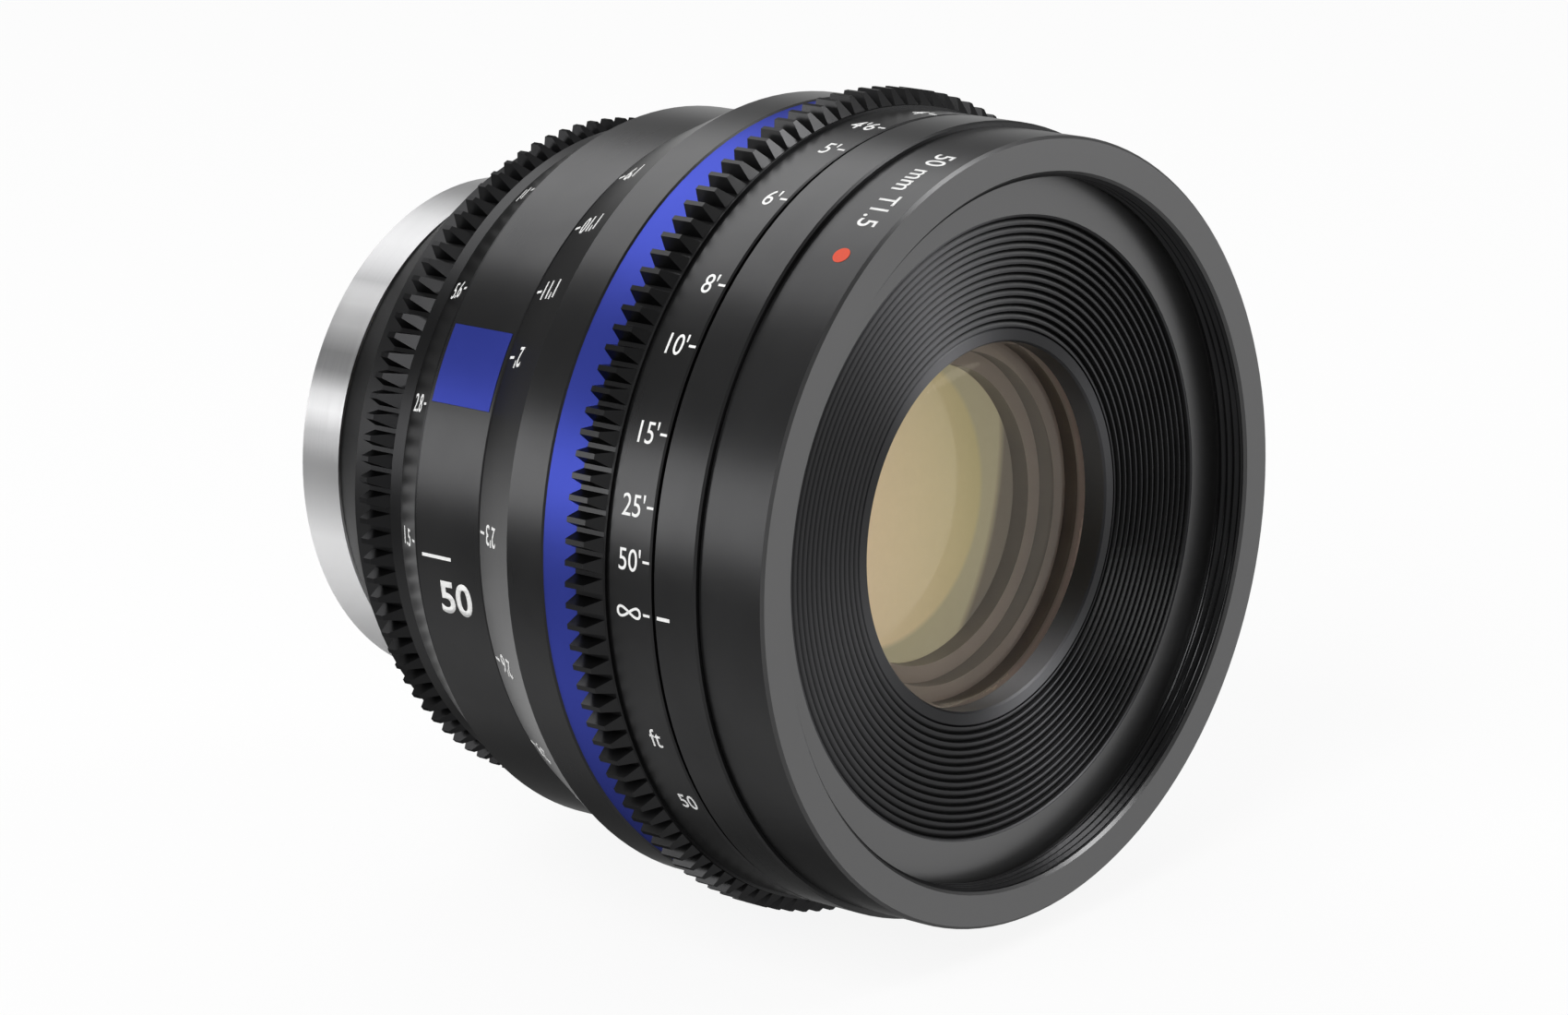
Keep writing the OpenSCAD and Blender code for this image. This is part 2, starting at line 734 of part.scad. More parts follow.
module main_barrel() {
    edge = 0.3;
    color("#1c1c1e") lens() difference() {
        turned([
            [drive_bore_r - barrel_flange, z_label], [label_r - edge, z_label],
            [label_r, z_label + edge],
            [label_r, z_label_front - edge], [label_r - edge, z_label_front],
            [guide_r + seat_fit, z_label_front], [guide_r + seat_fit, z_guide],
            [drive_bore_r - barrel_flange, z_guide]
        ]);
        sector(z_label + badge_margin - seat_fit, z_label_front - badge_margin + seat_fit,
            label_r - badge_t, label_r + cut, from_top(badge_from_angle - badge_ease_angle),
            badge_angle + 2 * badge_ease_angle);
        around(guide_screws_n, guide_screw_angle) {
            post(guide_screw_r, screw_r + seat_fit, z_label - cut, z_guide + cut);
            post(guide_screw_r, screw_head_r + head_fit, z_label - cut, z_label + screw_head_t + head_fit);
        }
        barrel_screw_places() {
            post(barrel_screw_r, screw_r + seat_fit, z_label - cut, z_guide + cut);
            post(barrel_screw_r, screw_head_r + head_fit, z_guide - screw_head_t - head_fit, z_guide + cut);
        }
    }
}

module badge_plate() {
    color("#2a36b8") lens() sector(z_label + badge_margin, z_label_front - badge_margin,
        label_r - badge_t + seat_fit, label_r + badge_proud, from_top(badge_from_angle), badge_angle);
}

module barrel_screws() {
    color("dimgray") lens() barrel_screw_places() {
        post(barrel_screw_r, screw_r, z_label - barrel_screw_reach, z_guide - screw_head_t);
        post(barrel_screw_r, screw_head_r, z_guide - screw_head_t, z_guide - flush);
    }
}

module guide_tube() {
    color("silver") lens() difference() {
        tube(z_guide, z_guide_front, guide_bore_r, guide_r);
        around(followers, follower_angle) {
            spoke(z_follower, slot_r, guide_bore_r - cut, guide_r + cut);
            spoke(z_follower + focus_travel, slot_r, guide_bore_r - cut, guide_r + cut);
            translate([guide_bore_r - cut, -slot_r, z_follower])
                cube([guide_wall + 2 * cut, 2 * slot_r, focus_travel]);
        }
        around(guide_screws_n, guide_screw_angle) {
            post(guide_screw_r, screw_r + seat_fit, z_guide - cut, z_guide + screw_reach + end_gap);
            post(guide_screw_r, screw_r + seat_fit,
                z_guide_front - screw_reach - end_gap, z_guide_front + cut);
        }
    }
}

module guide_tube_screws() {
    color("dimgray") lens() around(guide_screws_n, guide_screw_angle) {
        post(guide_screw_r, screw_head_r, z_label + flush, z_label + screw_head_t);
        post(guide_screw_r, screw_r, z_label + screw_head_t, z_guide + screw_reach);
    }
}

// Focus cell

module focus_cell() {
    z_web = z_follower - cell_web_t / 2;
    color("#2c2c2e") lens() difference() {
        turned([
            [focus_glass_r - cell_lip, z_cell], [focus_glass_r + cell_wall, z_cell],
            [focus_glass_r + cell_wall, z_web], [cell_r - cell_rim, z_web], [cell_r - cell_rim, z_cell],
            [cell_r, z_cell], [cell_r, z_cell_front], [cell_r - cell_rim, z_cell_front],
            [cell_r - cell_rim, z_web + cell_web_t], [focus_glass_r + cell_wall, z_web + cell_web_t],
            [focus_glass_r + cell_wall, z_cell_front], [focus_glass_r + seat_fit, z_cell_front],
            [focus_glass_r + seat_fit, z_cell + cell_lip], [focus_glass_r - cell_lip, z_cell + cell_lip]
        ]);
        around(followers, follower_angle)
            spoke(z_follower, follower_r + seat_fit, cell_r - cell_rim, cell_r + cut);
    }
}

module focus_element_rear() {
    color("lightcyan", 0.4) lens()
        element(focus_glass_r, z_focus_glass, z_focus_spacer, focus_bulge, -focus_hollow);
}

module focus_spacer() {
    color("#19191b") lens()
        tube(z_focus_spacer, z_focus_glass_2, focus_glass_r - glass_ring_w, focus_glass_r);
}

module focus_element_front() {
    color("lightcyan", 0.4) lens()
        element(focus_glass_r, z_focus_glass_2, z_focus_retainer, -focus_inner_hollow, focus_bulge);
}

module focus_retaining_ring() {
    color("#222222") lens() tube(z_focus_retainer, z_cell_front, focus_glass_r - glass_ring_w, focus_glass_r);
}

module cam_followers() {
    color("goldenrod") lens() around(followers, follower_angle)
        spoke(z_follower, follower_r, cell_r - cell_rim + head_fit, cam_r - 2 * end_gap);
}

// Focus ring

module focus_ring() {
    edge = 0.25;
    color("#1c1c1e") lens() difference() {
        turned([
            [focus_bore_r, z_focus], [focus_cone_r, z_focus], [shoulder_r, z_shoulder],
            [shoulder_r, z_colour - edge], [shoulder_r - edge, z_colour],
            [focus_seat_r, z_colour], [focus_seat_r, z_focus_front], [focus_bore_r, z_focus_front]
        ]);
        around(followers, cam_screw_angle)
            spoke(z_cam_screw, cam_screw_r + seat_fit, focus_bore_r - cut, focus_seat_r + cut);
    }
}

module colour_ring() {
    color("#2a36b8") lens() tube(z_colour, z_gear, focus_seat_r + seat_fit, colour_r);
}

module focus_gear() {
    color("#161618") lens() gear_ring(body_r + focus_gear_rise, z_gear, focus_gear_len,
        focus_tooth_land, focus_tooth_bevel, focus_seat_r + seat_fit);
}

module scale_ring() {
    edge = 0.2;
    color("#1c1c1e") lens() turned([
        [focus_seat_r + seat_fit, z_scale], [body_r, z_scale],
        [body_r, z_focus_front - edge], [body_r - edge, z_focus_front],
        [focus_seat_r + seat_fit, z_focus_front]
    ]);
}

// Station of the cam slot at an angle behind the follower that it carries
function cam_z(a) = z_follower + focus_travel * a / focus_throw;

// Helical slot swept from one end of the focus throw to the other
module cam_slot() {
    a0 = -slot_over_angle;
    a1 = focus_throw + slot_over_angle;
    r0 = cam_bore_r - cut;
    r1 = cam_r + cut;
    angles = [for (i = [0 : cam_steps]) a0 + (a1 - a0) * i / cam_steps];
    corners = [[r0, -slot_r], [r1, -slot_r], [r1, slot_r], [r0, slot_r]];
    points = [for (a = angles, c = corners) [c[0] * cos(-a), c[0] * sin(-a), cam_z(a) + c[1]]];
    last = 4 * cam_steps;
    sides = [for (i = [0 : cam_steps - 1], k = [0 : 3])
        let (p = 4 * i + k, q = 4 * i + (k + 1) % 4)
        each [[p, p + 4, q], [q, p + 4, q + 4]]];
    ends = [[0, 1, 2], [0, 2, 3], [last, last + 2, last + 1], [last, last + 3, last + 2]];
    polyhedron(points = points, faces = concat(sides, ends));
}

module cam_sleeve() {
    color("goldenrod") lens() difference() {
        tube(z_cam, z_cam_front, cam_bore_r, cam_r);
        around(followers, follower_angle) cam_slot();
        around(followers, cam_screw_angle)
            spoke(z_cam_screw, cam_screw_r + seat_fit, cam_bore_r + cam_screw_floor, cam_r + cut);
    }
}

module cam_screws() {
    color("dimgray") lens() around(followers, cam_screw_angle)
        spoke(z_cam_screw, cam_screw_r, cam_bore_r + cam_screw_floor + head_fit, focus_seat_r - head_fit);
}

// Front barrel and front group

module front_barrel() {
    edge = 0.25;
    color("#1c1c1e") lens() difference() {
        turned([
            [guide_r + seat_fit, z_index], [body_r - edge, z_index],
            [body_r, z_index + edge], [body_r, z_seam - edge], [body_r - edge, z_seam],
            [skirt_r, z_seam], [skirt_r, z_front], [front_seat_r + seat_fit, z_front],
            [front_seat_r + seat_fit, z_guide_front], [guide_r + seat_fit, z_guide_front]
        ]);
        around(guide_screws_n, guide_screw_angle) {
            post(guide_screw_r, screw_r + seat_fit, z_guide_front - cut, z_front + cut);
            post(guide_screw_r, screw_head_r + head_fit, z_front - screw_head_t - head_fit, z_front + cut);
        }
    }
}

module front_barrel_screws() {
    color("dimgray") lens() around(guide_screws_n, guide_screw_angle) {
        post(guide_screw_r, screw_r, z_guide_front - screw_reach, z_front - screw_head_t);
        post(guide_screw_r, screw_head_r, z_front - screw_head_t, z_front - flush);
    }
}

module front_ring() {
    rim_edge = 0.35;
    color("#2a2a2c") lens() turned([
        [filter_r, z_front], [skirt_r + seat_fit, z_front], [skirt_r + seat_fit, z_seam + flush],
        [front_r, z_seam + flush], [front_r, z_rim - rim_edge],
        [front_r - rim_edge, z_rim], [filter_r + filter_chamfer, z_rim],
        [filter_r, z_rim - filter_chamfer], [filter_r, z_floor],
        [baffle_r + seat_fit, z_floor], [baffle_r + seat_fit, z_floor - floor_t],
        [filter_r, z_floor - floor_t]
    ]);
}

// Shallow funnel with saw-tooth ridges that catch stray light
module ribbed_baffle() {
    r_in = front_clear_r + retainer_face + seat_fit;
    r_out = baffle_r;
    z_out = z_floor - flush;
    rim = 0.3;
    tooth_face = 0.1;
    slope = baffle_dip / (r_out - r_in);
    pitch = (r_out - r_in - rim) / ridges;
    function crest(r) = z_out - (r_out - r) * slope;
    teeth = [for (i = [0 : ridges - 1])
        let (r = r_out - rim - i * pitch)
        each [[r, crest(r)], [r - tooth_face, crest(r) - ridge_h]]];
    color("#141416") lens() turned(concat(
        [[r_in, z_front], [r_out, z_front], [r_out, z_out]],
        teeth,
        [[r_in, crest(r_in)]]
    ));
}

module front_retaining_ring() {
    edge = 0.25;
    z_top = z_floor - flush - baffle_dip;
    r_in = front_clear_r;
    color("#26262a") lens() turned([
        [r_in, z_front], [r_in + retainer_face, z_front], [r_in + retainer_face, z_top - edge],
        [r_in + retainer_face - edge, z_top], [r_in + edge, z_top], [r_in, z_top - edge]
    ]);
}

// Stepped cell: the treads behind the front element show through it
module front_cell() {
    r0 = front_clear_r;
    color("#4a423e") lens() turned([
        [second_glass_r + seat_fit, z_front_cell], [front_shoulder_r, z_front_cell],
        [front_shoulder_r, z_guide_front], [front_seat_r, z_guide_front], [front_seat_r, z_front],
        [front_glass_r + seat_fit, z_front], [front_glass_r + seat_fit, z_front_glass],
        [r0, z_front_glass], [r0, z_steps], [r0 - step_w, z_steps],
        [r0 - step_w, z_steps - step_h], [r0 - 2 * step_w, z_steps - step_h],
        [r0 - 2 * step_w, z_second_seat], [second_glass_r + seat_fit, z_second_seat]
    ]);
}

module front_element() {
    color("lightcyan", 0.4) lens()
        element(front_glass_r, z_front_glass, z_front, -front_hollow, front_bulge);
}

module second_element() {
    color("lightcyan", 0.4) lens()
        element(second_glass_r, z_front_cell + second_ring_t, z_second_seat, -second_hollow, second_bulge);
}

module second_retaining_ring() {
    color("#222222") lens()
        tube(z_front_cell, z_front_cell + second_ring_t, second_glass_r - glass_ring_w, second_glass_r);
}

mount_ring();
mount_screws();
mount_shim();
contact_block();
contact_pins();
rear_barrel();
rear_cell();
rear_element_front();
rear_spacer();
rear_element_rear();
rear_retaining_ring();
rear_baffle();
iris_housing();
iris_ring();
iris_gear();
iris_drive_ring();
iris_key();
iris_blade(0);  // iris_blade_01
iris_blade(1);  // iris_blade_02
iris_blade(2);  // iris_blade_03
iris_blade(3);  // iris_blade_04
iris_blade(4);  // iris_blade_05
iris_blade(5);  // iris_blade_06
iris_blade(6);  // iris_blade_07
iris_blade(7);  // iris_blade_08
iris_blade(8);  // iris_blade_09
iris_blade(9);  // iris_blade_10
main_barrel();
badge_plate();
barrel_screws();
guide_tube();
guide_tube_screws();
focus_cell();
focus_element_rear();
focus_spacer();
focus_element_front();
focus_retaining_ring();
cam_followers();
focus_ring();
colour_ring();
focus_gear();
scale_ring();
cam_sleeve();
cam_screws();
front_barrel();
front_barrel_screws();
front_ring();
ribbed_baffle();
front_retaining_ring();
front_cell();
front_element();
second_element();
second_retaining_ring();
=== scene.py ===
import json
import math

import bmesh
import bpy
from mathutils import Matrix, Vector


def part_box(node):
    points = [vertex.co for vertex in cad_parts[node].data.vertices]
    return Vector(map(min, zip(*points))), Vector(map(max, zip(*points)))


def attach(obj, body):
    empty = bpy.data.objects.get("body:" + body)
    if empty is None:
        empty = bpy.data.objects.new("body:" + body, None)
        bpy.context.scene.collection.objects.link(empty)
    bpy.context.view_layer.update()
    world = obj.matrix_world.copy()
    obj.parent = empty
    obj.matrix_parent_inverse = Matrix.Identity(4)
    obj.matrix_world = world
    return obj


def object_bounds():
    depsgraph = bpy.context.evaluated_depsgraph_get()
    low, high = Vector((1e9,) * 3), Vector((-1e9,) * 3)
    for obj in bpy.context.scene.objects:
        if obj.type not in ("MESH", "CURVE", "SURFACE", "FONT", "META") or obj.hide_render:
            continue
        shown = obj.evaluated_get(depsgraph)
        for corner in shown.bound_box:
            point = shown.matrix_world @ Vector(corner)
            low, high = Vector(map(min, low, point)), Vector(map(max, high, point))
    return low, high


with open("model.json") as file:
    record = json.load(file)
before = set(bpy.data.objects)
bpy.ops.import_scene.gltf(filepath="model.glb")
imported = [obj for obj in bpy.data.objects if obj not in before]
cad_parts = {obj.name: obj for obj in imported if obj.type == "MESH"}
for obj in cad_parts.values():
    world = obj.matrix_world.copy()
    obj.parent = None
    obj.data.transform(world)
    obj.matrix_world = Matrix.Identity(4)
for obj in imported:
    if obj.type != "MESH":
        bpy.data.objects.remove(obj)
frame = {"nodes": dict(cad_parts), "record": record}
cad_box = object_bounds()
nodes = frame["nodes"]
scene = bpy.context.scene
MM = 0.001


# Radii and stations of the solids that carry the marks, in millimetres, with stations counted from the flange

def outer(node):
    """Outer radius of a CAD node, to a tenth."""
    low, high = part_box(node)
    return round((high.x - low.x) / 2 / MM, 1)


def rear_of(node):
    """Station of a CAD node's rear end."""
    return round(-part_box(node)[1].y / MM, 2)


def front_of(node):
    """Station of a CAD node's front end."""
    return round(-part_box(node)[0].y / MM, 2)


RIM = front_of("front_ring")
FRONT_R = outer("front_ring")
FILTER_R = FRONT_R - 4.5
SCALE_R = outer("front_barrel")
SCALE_FRONT = front_of("scale_ring")
INDEX_REAR = rear_of("front_barrel")
BARREL_R = outer("main_barrel")
BARREL_REAR = rear_of("main_barrel")
RIDGES = 14
RIDGE_FROM = outer("ribbed_baffle") - 0.3
RIDGE_PITCH = (RIDGE_FROM - outer("front_retaining_ring") - 0.02) / RIDGES

# Cones as (radius, station) at their rear and front ends
IRIS_R = outer("iris_ring")
IRIS_FRONT = front_of("iris_ring")
IRIS_CONE = ((IRIS_R - 2.4, IRIS_FRONT - 5.1), (IRIS_R, IRIS_FRONT - 0.4))
FOCUS_R = outer("focus_ring")
FOCUS_REAR = rear_of("focus_ring")
FOCUS_CONE = ((BARREL_R + 0.3, FOCUS_REAR), (FOCUS_R, FOCUS_REAR + 7.8))


def place(angle, r, z):
    """Point at an angle in degrees from the top towards the index side, a radius and a station."""
    a = math.radians(angle)
    return Vector((-r * math.sin(a), -z, r * math.cos(a))) * MM


def piece(name, m, material):
    """Object made of a bmesh, which is used up."""
    mesh = bpy.data.meshes.new(name)
    m.to_mesh(mesh)
    m.free()
    mesh.materials.append(material)
    ob = bpy.data.objects.new(name, mesh)
    scene.collection.objects.link(ob)
    return ob


# Camera

def camera():
    """Camera fitted to the ring ellipses of the photograph; returns its right, up and forward directions."""
    focal_px, width_px = 6023.0, 1700.0
    # The lens axis, the centre of its rim in millimetres and the upright direction, as the camera sees them
    axis = Vector((0.7518, 0.1541, -0.6411))
    rim = Vector((28.86, 3.30, 657.24))
    upright = Vector((0.0, -0.9723, -0.2337))
    side = axis.cross(upright)
    # The lens is turned a little on its axis, so that its index marks lie where the photograph has them
    roll = math.radians(4.0)
    top = math.cos(roll) * upright + math.sin(roll) * side
    index = math.cos(roll) * side - math.sin(roll) * upright
    to_world = Matrix((-index, -axis, top))
    right, down, forward = (to_world @ Vector(v) for v in ((1, 0, 0), (0, 1, 0), (0, 0, 1)))
    eye = (Vector((0.0, -RIM, 0.0)) - to_world @ rim) * MM
    data = bpy.data.cameras.new("camera")
    data.sensor_width = 36.0
    data.lens = focal_px / width_px * data.sensor_width
    data.clip_start, data.clip_end = 0.01, 20.0
    cam = bpy.data.objects.new("camera", data)
    cam.matrix_world = Matrix((
        (right.x, -down.x, -forward.x, eye.x),
        (right.y, -down.y, -forward.y, eye.y),
        (right.z, -down.z, -forward.z, eye.z),
        (0, 0, 0, 1),
    ))
    scene.collection.objects.link(cam)
    scene.camera = cam
    return right, -down, forward


cam_right, cam_up, cam_forward = camera()


# Node helpers

class Graph:
    """One node tree, with short ways to add nodes and join them."""

    def __init__(self, tree):
        self.tree = tree

    def node(self, kind, **values):
        n = self.tree.nodes.new(kind)
        for key, value in values.items():
            setattr(n, key, value)
        return n

    def put(self, node, socket, value):
        """Joins an output to an input, or sets the input's own number or colour."""
        if isinstance(value, bpy.types.NodeSocket):
            self.tree.links.new(value, node.inputs[socket])
        else:
            node.inputs[socket].default_value = value

    def math(self, op, *values):
        n = self.node("ShaderNodeMath", operation=op)
        for i, value in enumerate(values):
            self.put(n, i, value)
        return n.outputs[0]

    def add(self, first, *more):
        total = first
        for value in more:
            total = self.math("ADD", total, value)
        return total

    def times(self, first, *more):
        product = first
        for value in more:
            product = self.math("MULTIPLY", product, value)
        return product

    def rest(self, share):
        return self.math("SUBTRACT", 1.0, share)

    def split(self, vector):
        n = self.node("ShaderNodeSeparateXYZ")
        self.put(n, 0, vector)
        return n.outputs

    def spread(self, value, low, high, start=0.3, end=0.7, kind="LINEAR"):
        """Takes values from start to end over to the range from low to high."""
        n = self.node("ShaderNodeMapRange", interpolation_type=kind)
        ranges = {"Value": value, "From Min": start, "From Max": end, "To Min": low, "To Max": high}
        for socket, number in ranges.items():
            self.put(n, socket, number)
        return n.outputs["Result"]

    def ease(self, value, start, end, low=0.0, high=1.0):
        return self.spread(value, low, high, start, end, "SMOOTHSTEP")

    def noise(self, vector, scale, detail=2.0, rough=0.5):
        n = self.node("ShaderNodeTexNoise")
        for socket, value in {"Vector": vector, "Scale": scale, "Detail": detail, "Roughness": rough}.items():
            self.put(n, socket, value)
        return n.outputs["Fac"]

    def blend(self, factor, a, b):
        n = self.node("ShaderNodeMix", data_type="RGBA")
        self.put(n, "Factor", factor)
        for socket, colour in (("A", a), ("B", b)):
            self.put(n, socket, (*colour, 1.0) if isinstance(colour, tuple) else colour)
        return n.outputs["Result"]

    def mix(self, factor, a, b, output):
        """Mixes two shaders into the tree's output node."""
        n = self.node("ShaderNodeMixShader")
        for socket, value in enumerate((factor, a, b)):
            self.put(n, socket, value)
        self.put(self.tree.nodes[output], "Surface", n.outputs[0])


class Shader(Graph):
    """One material, with the place of the shaded point on its piece, in metres and radians."""

    def __init__(self, name):
        self.material = bpy.data.materials.new(name)
        self.material.use_nodes = True
        super().__init__(self.material.node_tree)
        self.bsdf = self.tree.nodes["Principled BSDF"]
        tex = self.node("ShaderNodeTexCoord")
        self.at, self.normal = tex.outputs["Object"], tex.outputs["Normal"]
        self.x, self.station, self.z = self.split(self.at)
        self.radius = self.distance(self.x, self.z)
        self.angle = self.math("ARCTAN2", self.x, self.z)

    def set(self, **values):
        """Sets or joins inputs of the surface shader."""
        for key, value in values.items():
            self.put(self.bsdf, key.replace("_", " "), value)

    def distance(self, a, b):
        return self.math("SQRT", self.add(self.times(a, a), self.times(b, b)))

    def forward(self):
        """How squarely the surface faces the front of the lens, from 0 to 1."""
        return self.math("MAXIMUM", self.times(self.split(self.normal)[1], -1.0), 0.0)

    def bump(self, height, strength, depth):
        n = self.node("ShaderNodeBump")
        for socket, value in {"Height": height, "Strength": strength, "Distance": depth * MM}.items():
            self.put(n, socket, value)
        self.set(Normal=n.outputs["Normal"])

    def turning(self, drift):
        """Fine marks of the lathe: rings that wander slowly round the piece."""
        lines_per_metre = 5200.0
        n = self.node("ShaderNodeCombineXYZ")
        self.put(n, 0, self.times(self.station, lines_per_metre))
        self.put(n, 1, self.times(self.radius, lines_per_metre))
        self.put(n, 2, self.times(self.angle, drift))
        return self.noise(n.outputs[0], 1.0, 3.0)

    def fans(self):
        """Two opposite fans of light on a turned face, and two fainter ones across them."""
        turn, faint_share = 18.0, 0.25
        a = self.add(self.angle, math.radians(turn))
        strong = self.math("POWER", self.math("ABSOLUTE", self.math("COSINE", a)), 16.0)
        faint = self.math("POWER", self.math("ABSOLUTE", self.math("SINE", a)), 10.0)
        return self.add(strong, self.times(faint, faint_share))


# Materials

# Depth of the finest surface marks, in millimetres
FINE = 0.02


def turned(name, dark, light, rough, metallic=0.0, specular=0.3, edge=1.0, face=None, sheen=None):
    """Anodised or bare metal off a lathe: fine rings and faint clouds, a front face painted paler as painted
    light, and fans of light painted into the colour.
    """
    vary = 0.008
    s = Shader(name)
    lathe = s.turning(1.5)
    cloud = s.noise(s.at, 70.0, 4.0)
    colour = s.blend(s.spread(cloud, 0.0, 1.0), dark, light)
    # Painted light: surfaces that look towards the front are painted paler
    if face:
        colour = s.blend(s.forward(), colour, face)
    # Painted highlight: two fans of light painted into the colour of a turned face
    if sheen:
        colour = s.blend(s.fans(), colour, sheen)
    wear_and_painted_light = s.add(s.times(lathe, 0.6), s.times(cloud, 0.4))
    s.set(Base_Color=colour, Roughness=s.spread(wear_and_painted_light, rough - vary, rough + vary), Metallic=metallic)
    s.set(Specular_IOR_Level=specular, Specular_Tint=(edge, edge, edge, 1.0))
    s.bump(lathe, 0.005, FINE)
    return s.material


def brushed(name, dark, light, painted_light_colour, rough):
    """Bare steel turned on its faces: soft bands round the ring painted as reflections, with painted
    highlights at two places and painted light underneath.
    """
    vary = 0.03
    s = Shader(name)
    streaks = s.turning(2.0)
    round_ring = s.node("ShaderNodeCombineXYZ")
    s.put(round_ring, 0, s.math("SINE", s.angle))
    s.put(round_ring, 1, s.math("COSINE", s.angle))
    # Painted reflections: soft random bands of light and dark round the ring, later mixed with the real lathe
    # streaks
    bands = s.noise(round_ring.outputs[0], 2.6, 1.0)
    fac = s.add(s.times(bands, 0.85), s.times(streaks, 0.15))
    painted_bands_and_streaks = s.blend(s.spread(fac, 0.0, 1.0, 0.36, 0.58), dark, light)
    # Painted light underneath: paler and less metallic towards the bottom of the ring
    painted_underside = s.spread(s.math("COSINE", s.angle), 1.0, 0.0, -0.2, 0.12)
    # Painted highlights: two narrow paler stripes at 50 and 70 degrees round the ring
    painted_light_share = painted_underside
    for at, half, lift in ((50.0, 9.0, 1.0), (70.0, 7.0, 0.4)):
        off = s.math("ABSOLUTE", s.add(s.angle, math.radians(at)))
        painted_light_share = s.math("MAXIMUM", painted_light_share, s.spread(off, lift, 0.0, math.radians(0.3 * half), math.radians(half)))
    s.set(Base_Color=s.blend(painted_light_share, painted_bands_and_streaks, painted_light_colour), Metallic=s.spread(painted_underside, 0.88, 0.4, 0.0, 1.0))
    s.set(Roughness=s.spread(streaks, rough - vary, rough + vary))
    s.bump(streaks, 0.06, FINE)
    return s.material


def stepped(name, riser, tread, seat, rough):
    """Dull cell walls with painted light: the treads that face forwards are painted paler than the risers,
    the seat palest of all.
    """
    vary, seat_from, seat_to = 0.07, 22.5, 23.0
    s = Shader(name)
    cloud = s.noise(s.at, 220.0, 4.0)
    # Painted light: walls take the paler tread colour as they face forwards, with a faint random cloud
    wear_and_painted_light = s.add(s.times(s.forward(), 0.85), s.times(cloud, 0.15))
    # Painted light: the seat radius is painted palest of all
    on_seat = s.spread(s.radius, 0.0, 1.0, seat_from * MM, seat_to * MM)
    s.set(Base_Color=s.blend(on_seat, s.blend(wear_and_painted_light, riser, tread), seat), Specular_IOR_Level=0.3)
    s.set(Roughness=s.spread(cloud, rough - vary, rough + vary))
    s.bump(cloud, 0.1, FINE)
    return s.material


def ridged(name, groove, crest, sheen, rough):
    """Ribbed face: dull black in the grooves, painted paler towards each rounded crest as painted light, with
    fans of light painted on.
    """
    vary, height = 0.06, 0.18
    s = Shader(name)
    share = s.math("FRACT", s.math("DIVIDE", s.math("SUBTRACT", RIDGE_FROM * MM, s.radius), RIDGE_PITCH * MM))
    cloud = s.noise(s.at, 160.0, 4.0)
    # Painted light: crests painted paler than the grooves, with a faint random cloud
    painted_crest_light_and_cloud = s.add(s.spread(share, 0.0, 0.9, 0.18, 0.8), s.times(cloud, 0.1))
    # Painted highlight: fans of light painted into the crest colour
    s.set(Base_Color=s.blend(painted_crest_light_and_cloud, groove, s.blend(s.fans(), crest, sheen)), Specular_IOR_Level=0.32)
    s.set(Roughness=s.spread(cloud, rough - vary, rough + vary))
    swell = s.times(share, s.rest(share), 4.0)
    s.bump(s.add(swell, s.times(cloud, 0.05)), 1.0, height)
    return s.material


def grained(name, dark, light, rough, scale, vary, strength, depth):
    """Filled paint or moulded plastic: one colour with a fine uneven surface."""
    s = Shader(name)
    grain = s.noise(s.at, scale, 2.0)
    s.set(Base_Color=s.blend(s.spread(grain, 0.0, 1.0), dark, light))
    s.set(Roughness=s.spread(grain, rough - vary, rough + vary))
    s.bump(grain, strength, depth)
    return s.material


def painted(name, dark, light, rough):
    return grained(name, dark, light, rough, 2600.0, 0.08, 0.1, FINE)


def moulded(name, dark, light, rough):
    return grained(name, dark, light, rough, 4200.0, 0.06, 0.25, 1.5 * FINE)


def glass(name, glass_colour, reflect, haze):
    """Coated lens element with a trace of dust."""
    s = Shader(name)
    dust = s.noise(s.at, 900.0, 6.0, 0.7)
    dusty = tuple(0.97 * c for c in glass_colour)
    s.set(Base_Color=s.blend(s.spread(dust, 0.0, 1.0), glass_colour, dusty))
    s.set(Roughness=s.spread(dust, 0.0, haze, 0.55, 0.85))
    s.set(Transmission_Weight=1.0, IOR=1.3, Specular_Tint=(*reflect, 1.0))
    return s.material


def glowing_painted_glass(name):
    """Inner element: beige to olive, with the rim of the element behind it painted on, a painted shadow over
    the far side, and a painted glow though it is no lamp.
    """
    s = Shader(name)

    def outside(x, z, radius, soft):
        away = s.distance(s.math("SUBTRACT", s.x, x * MM), s.math("SUBTRACT", s.z, z * MM))
        return s.spread(away, 0.0, 1.0, (radius - soft) * MM, (radius + soft) * MM)

    cloud = s.noise(s.at, 45.0, 2.0)
    across = s.add(s.spread(s.x, 0.0, 1.0, -18.0 * MM, 22.0 * MM), s.times(cloud, 0.06))
    inner = s.blend(across, (0.60, 0.465, 0.32), (0.29, 0.275, 0.125))
    # Painted ring: the rim of the element behind it
    middle = s.blend(outside(-6.1, 2.8, 17.8, 0.4), inner, (0.30, 0.275, 0.185))
    # Painted shadow over the far side of the element
    glass_colour = s.blend(outside(-41.6, 16.1, 59.0, 0.7), middle, (0.105, 0.093, 0.078))
    # Painted glow: the element emits its own colour, though it is no lamp
    s.set(Base_Color=glass_colour, Emission_Color=glass_colour, Emission_Strength=0.6)
    s.set(Roughness=s.spread(cloud, 0.04, 0.1), IOR=1.5, Coat_Weight=0.4)
    return s.material


def grey(level, blue=0.001):
    """Grey with a trace of blue."""
    return level, level, level + blue


